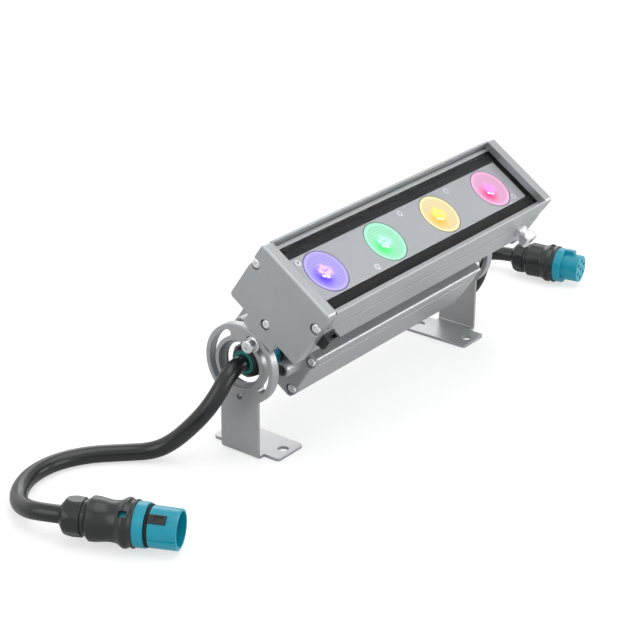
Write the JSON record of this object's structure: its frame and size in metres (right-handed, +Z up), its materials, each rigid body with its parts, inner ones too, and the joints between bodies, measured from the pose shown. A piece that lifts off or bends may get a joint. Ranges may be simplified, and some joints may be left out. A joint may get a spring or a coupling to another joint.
{
  "type": "wall washer light",
  "caption": "Linear outdoor wall washer: extruded light head over a driver box, tilting between slotted ring brackets, with a cable and round plug at each end.",
  "frame": {"origin": "centre of the four-hole foot pattern, on the surface the feet stand on", "axes": "+X along the lamp, +Z up, light thrown towards -Y when tilted"},
  "size_m": [0.6335, 0.1817, 0.176],
  "materials": {
    "bracket_paint": "powder coated, fine satin",
    "cable_rubber": "matt extruded",
    "plug_black": "moulded, satin",
    "plug_turquoise": "moulded, satin",
    "seal_rubber": "matt",
    "contact_metal": "bright",
    "housing_paint": "powder coated, fine satin",
    "bright_screw": "polished",
    "zinc_screw": "satin",
    "reflector_satin": "satin",
    "lens_violet": "clear moulded, tinted by its light",
    "lens_green": "clear moulded, tinted by its light",
    "lens_amber": "clear moulded, tinted by its light",
    "lens_pink": "clear moulded, tinted by its light",
    "led_package": "satin",
    "circuit_board": "solder resist",
    "component_black": "moulded",
    "terminal_plastic": "moulded",
    "lead_rubber": "matt",
    "gland_black": "moulded, satin",
    "gland_turquoise": "satin",
    "clear_glass": "clear, polished"
  },
  "bodies": {
    "base": {"bracket_left": "bracket_paint", "bracket_right": "bracket_paint", "cable_left": "cable_rubber", "cable_right": "cable_rubber", "plug_left_body": "plug_black", "plug_left_insert": "plug_turquoise", "plug_left_key": "plug_black", "plug_left_neck": "plug_black", "plug_left_nut": "plug_black", "plug_left_oring": "seal_rubber", "plug_left_pins": "contact_metal", "plug_right_body": "plug_black", "plug_right_contacts": "contact_metal", "plug_right_insert": "plug_turquoise", "plug_right_neck": "plug_black", "plug_right_nut": "plug_black"},
    "lamp": {"board_screws": "zinc_screw", "box_gasket_left": "seal_rubber", "box_gasket_right": "seal_rubber", "box_plate_left": "housing_paint", "box_plate_right": "housing_paint", "box_screws": "bright_screw", "breather_base": "bright_screw", "breather_cap": "bright_screw", "cap_gasket_left": "seal_rubber", "cap_gasket_right": "seal_rubber", "cap_screws": "bright_screw", "driver_board": "circuit_board", "driver_board_screws": "zinc_screw", "driver_housing": "housing_paint", "driver_parts": "component_black", "end_cap_left": "housing_paint", "end_cap_right": "housing_paint", "front_glass": "clear_glass", "gland_body_left": "gland_black", "gland_body_right": "gland_black", "gland_nut_left": "gland_black", "gland_nut_right": "gland_black", "gland_ring_left": "gland_turquoise", "gland_ring_right": "gland_turquoise", "gland_seal_left": "gland_turquoise", "gland_seal_right": "gland_turquoise", "glass_seal": "seal_rubber", "head_housing": "housing_paint", "inner_leads": "lead_rubber", "joining_screws": "zinc_screw", "led_board": "circuit_board", "leds": "led_package", "lens_1": "lens_violet", "lens_2": "lens_green", "lens_3": "lens_amber", "lens_4": "lens_pink", "lock_screws": "bright_screw", "lock_washers": "bright_screw", "plate_posts": "zinc_screw", "plate_screws": "zinc_screw", "reflector_plate": "reflector_satin", "side_block": "gland_black", "terminal_blocks": "terminal_plastic"}
  },
  "joints": [
    {"name": "tilt", "type": "hinge", "parent": "base", "child": "lamp", "pos_m": [0, 0, 0.0738], "axis": [1, 0, 0], "range_deg": [-9, 75]}
  ]
}
